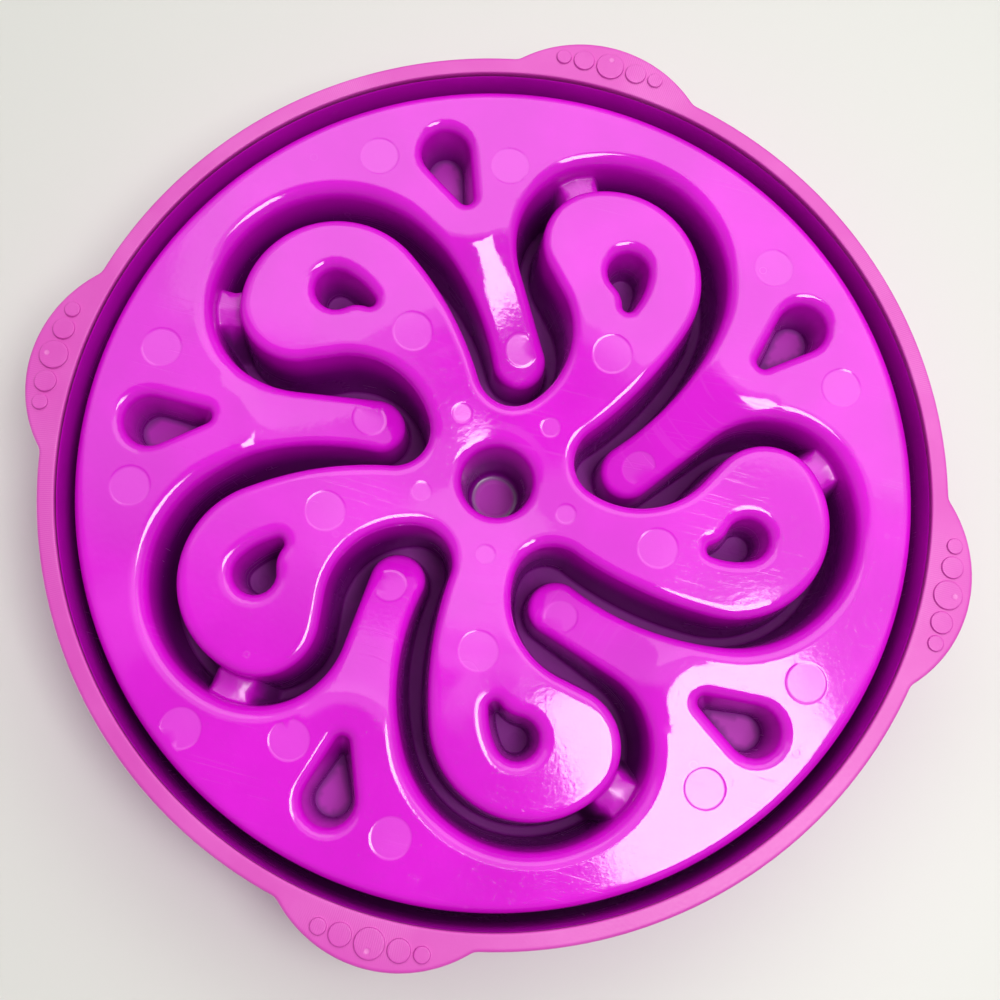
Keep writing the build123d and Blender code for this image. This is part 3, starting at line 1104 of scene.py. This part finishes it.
def pink_rubber():
    """Matt rubber with a fine grain and faint tool marks that run outwards."""
    material, tree, shader, place = start_material("pink_rubber")
    parts = add_node(tree, "ShaderNodeSeparateXYZ", {"Vector": place}).outputs
    angle = compute(tree, "ARCTAN2", parts["Y"], parts["X"])
    hatch = compute(tree, "SINE", compute(tree, "MULTIPLY", angle, hatch_lines))
    patches = between(tree, noise(tree, place, hatch_patch_scale), *hatch_patch_limits)
    hatch = compute(tree, "MULTIPLY", hatch, patches)
    grain = noise(tree, place, rubber_grain_scale, rubber_grain_detail)
    stain = between(tree, noise(tree, place, rubber_stain_scale, rubber_stain_detail), *rubber_stain_limits)
    color = mix_color(tree, stain, rubber_color, rubber_pale)
    # The colour is paler along the tool marks, in patches, and on the gate mark.
    pale_hatch = compute(tree, "MULTIPLY", between(tree, hatch, *hatch_pale_limits), hatch_paleness)
    gate = compute(tree, "MULTIPLY", attribute(tree, "mark"), gate_wear)
    color = mix_color(tree, compute(tree, "MAXIMUM", pale_hatch, gate), color, rubber_pale_marks)
    tree.links.new(color, shader.inputs["Base Color"])
    rough = compute(tree, "MULTIPLY_ADD", grain, rubber_grain_rough, rubber_rough)
    tree.links.new(rough, shader.inputs["Roughness"])
    height = compute(tree, "MULTIPLY_ADD", hatch, hatch_height, grain)
    bumped(tree, shader, height, rubber_bump, rubber_bump_distance)
    return material


def stage_plane(name, height, facing_up, mirrored_from):
    """Pale plane that dims nothing: only the camera sees it, from its front.

    Reflections show it too, but only beyond a distance from the bowl's axis."""
    half = stage_half_width
    corners = [(-half, -half, height), (half, -half, height), (half, half, height), (-half, half, height)]
    if not facing_up:
        corners.reverse()
    mesh = bpy.data.meshes.new(name)
    mesh.from_pydata((np.array(corners) * MM).tolist(), [], [(0, 1, 2, 3)])
    material = bpy.data.materials.new(name)
    material.use_nodes = True
    tree = material.node_tree
    shader = tree.nodes["Principled BSDF"]
    shader.inputs["Base Color"].default_value = stage_color
    shader.inputs["Roughness"].default_value = stage_roughness
    ray = add_node(tree, "ShaderNodeLightPath").outputs
    surface = add_node(tree, "ShaderNodeNewGeometry").outputs
    inputs = {0: surface["Position"], 1: (1, 1, 0)}
    flat = add_node(tree, "ShaderNodeVectorMath", inputs, operation="MULTIPLY").outputs["Vector"]
    away = add_node(tree, "ShaderNodeVectorMath", {0: flat}, operation="LENGTH").outputs["Value"]
    outside = compute(tree, "GREATER_THAN", away, mirrored_from * MM)
    mirrored = compute(tree, "MULTIPLY", ray["Is Glossy Ray"], outside)
    seen = compute(tree, "MAXIMUM", ray["Is Camera Ray"], mirrored)
    front = compute(tree, "SUBTRACT", seen, surface["Backfacing"])
    clear = add_node(tree, "ShaderNodeBsdfTransparent").outputs["BSDF"]
    mixed = add_node(tree, "ShaderNodeMixShader", {0: front, 1: clear, 2: shader.outputs["BSDF"]})
    tree.links.new(mixed.outputs["Shader"], tree.nodes["Material Output"].inputs["Surface"])
    mesh.materials.append(material)
    plane = bpy.data.objects.new(name, mesh)
    bpy.context.scene.collection.objects.link(plane)


def lamp(name, place, across, facing, width, depth, power):
    """Soft rectangular lamp at a place, with the direction of its width and the direction that it faces."""
    data = bpy.data.lights.new(name, "AREA")
    data.shape = "RECTANGLE"
    data.size = width * MM
    data.size_y = depth * MM
    data.energy = power
    made = bpy.data.objects.new(name, data)
    away = -Vector(facing).normalized()
    beside = away.cross(Vector(across)).normalized()
    turn = Matrix((beside.cross(away), beside, away)).transposed()
    made.matrix_world = Matrix.Translation(Vector(place) * MM) @ turn.to_4x4()
    made.visible_camera = False
    bpy.context.scene.collection.objects.link(made)


def studio_world():
    """Pale world: even above, and below it is dim, with one bright side that is nearly straight below."""
    world = bpy.data.worlds.new("studio")
    bpy.context.scene.world = world
    world.use_nodes = True
    tree = world.node_tree
    direction = add_node(tree, "ShaderNodeTexCoord").outputs["Generated"]
    parts = add_node(tree, "ShaderNodeSeparateXYZ", {"Vector": direction}).outputs
    downward = compute(tree, "MULTIPLY", parts["Z"], -1.0)
    sideways = compute(tree, "MULTIPLY", parts["Y"], -1.0)
    bright_side = between(tree, sideways, *bright_side_limits)
    bright_side = compute(tree, "MULTIPLY", bright_side, between(tree, downward, *bright_down_limits))
    below = compute(tree, "MULTIPLY_ADD", bright_side, world_bright - world_dim, world_dim)
    share = between(tree, downward, *horizon_limits)
    level = compute(tree, "MULTIPLY_ADD", share, compute(tree, "SUBTRACT", below, world_above), world_above)
    seen = add_node(tree, "ShaderNodeLightPath").outputs["Is Camera Ray"]
    level = compute(tree, "MULTIPLY_ADD", seen, compute(tree, "SUBTRACT", world_seen, level), level)
    shader = tree.nodes["Background"]
    shader.inputs["Color"].default_value = world_color
    tree.links.new(level, shader.inputs["Strength"])


def photo_camera():
    """Camera at the photo's place, as the scene's camera."""
    right = Vector(camera_right).normalized()
    back = right.cross(Vector(camera_up)).normalized()
    turn = Matrix((right, back.cross(right), back)).transposed()
    data = bpy.data.cameras.new("photo_camera")
    data.lens = camera_lens
    camera = bpy.data.objects.new("photo_camera", data)
    camera.matrix_world = Matrix.Translation(Vector(camera_place) * MM) @ turn.to_4x4()
    bpy.context.scene.collection.objects.link(camera)
    bpy.context.scene.camera = camera


bowl = bowl_surface().make("bowl_body", magenta_plastic())
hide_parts("bowl_shell")
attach(bowl, "root")

ring = ring_surface().make("grip_ring", pink_rubber())
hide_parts("non_slip_base_ring")
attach(ring, "root")

photo_camera()
# A floor for views from above and a table top for the photo's view from below
stage_plane("floor", 0.0, True, tab_reach)
stage_plane("table_top", bowl_height, False, stage_half_width)
for name, values in lamps.items():
    lamp(name, *values)
studio_world()
bpy.context.scene.view_settings.view_transform = "Standard"
